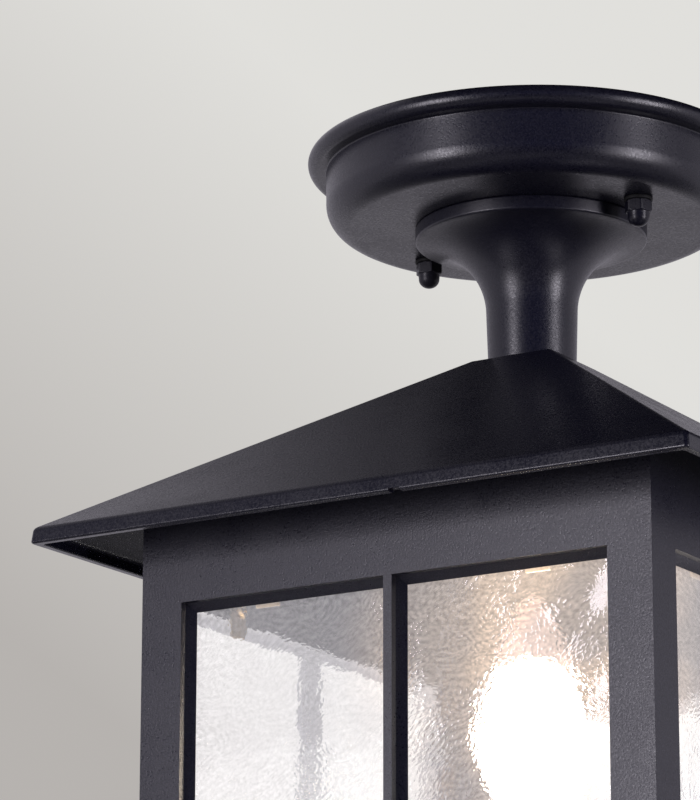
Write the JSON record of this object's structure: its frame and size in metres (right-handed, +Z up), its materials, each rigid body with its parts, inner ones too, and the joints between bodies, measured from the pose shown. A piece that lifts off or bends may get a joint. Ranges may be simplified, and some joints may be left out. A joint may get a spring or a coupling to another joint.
{
  "type": "porch ceiling lantern",
  "caption": "Ceiling lantern with a round rose, trumpet stem, pyramid roof and a glazed square body with a hinged door, lit by one candle bulb.",
  "frame": {"origin": "centre of the ceiling screw circle, in the plane of the ceiling", "axes": "+Z up into the ceiling; the lantern hangs below the origin; its front faces -Y and its door is at the back, +Y"},
  "size_m": [0.22, 0.22, 0.2875],
  "materials": {
    "black_powder_coat": "satin, fine texture, over cast aluminium",
    "coated_nut": "satin",
    "zinc_steel": "satin",
    "brass_parts": "satin",
    "water_glass": "gloss",
    "bulb_glass": "gloss",
    "bulb_cap_metal": "satin",
    "filament_stick": "satin",
    "porcelain": "gloss",
    "terminal_plastic": "matte",
    "black_rubber": "matte",
    "brown_insulation": "matte",
    "blue_insulation": "matte",
    "earth_insulation": "matte"
  },
  "bodies": {
    "lantern": {"rose": "black_powder_coat", "stem": "black_powder_coat", "roof": "black_powder_coat", "body_frame": "black_powder_coat", "base_plate": "black_powder_coat", "cap_nuts": "coated_nut", "ceiling_strap": "zinc_steel", "strap_studs": "zinc_steel", "stud_lock_nuts": "zinc_steel", "threaded_tube": "zinc_steel", "upper_washer": "zinc_steel", "upper_lock_nut": "zinc_steel", "lower_washer": "zinc_steel", "lower_lock_nut": "zinc_steel", "roof_screws": "zinc_steel", "glass_clips": "zinc_steel", "glass_clip_screws": "zinc_steel", "base_screws": "zinc_steel", "holder_bracket": "zinc_steel", "bracket_rivets": "zinc_steel", "holder_nipple": "zinc_steel", "holder_nut": "zinc_steel", "hinge_pins": "zinc_steel", "earth_tag": "zinc_steel", "lampholder_sleeve": "brass_parts", "centre_contact": "brass_parts", "terminal_screws": "brass_parts", "earth_screw": "brass_parts", "glass_front": "water_glass", "glass_right": "water_glass", "glass_left": "water_glass", "lampholder": "porcelain", "terminal_block": "terminal_plastic", "ceiling_gasket": "black_rubber", "sealing_washers": "black_rubber", "stem_seal": "black_rubber", "tube_bush": "black_rubber", "wire_saddles": "black_rubber", "live_lead": "brown_insulation", "neutral_lead": "blue_insulation", "earth_lead": "earth_insulation"},
    "door": {"door_frame": "black_powder_coat", "door_glass": "water_glass", "door_glass_clips": "zinc_steel", "door_clip_screws": "zinc_steel"},
    "catch": {"catch_knob": "black_powder_coat", "catch_cam": "zinc_steel"},
    "bulb": {"bulb_envelope": "bulb_glass", "bulb_cap": "bulb_cap_metal", "bulb_filament": "filament_stick"}
  },
  "joints": [
    {"name": "door_hinge", "type": "hinge", "parent": "lantern", "child": "door", "pos_m": [-0.0745, 0.0889, -0.20575], "axis": [0, 0, 1], "range_deg": [0, 110]},
    {"name": "door_catch", "type": "hinge", "parent": "door", "child": "catch", "pos_m": [0.0641, 0.0857, -0.20575], "axis": [0, -1, 0], "range_deg": [0, 90]},
    {"name": "bulb_lift", "type": "slide", "parent": "lantern", "child": "bulb", "axis": [0, 0, 1], "range_m": [0, 0.022]}
  ]
}
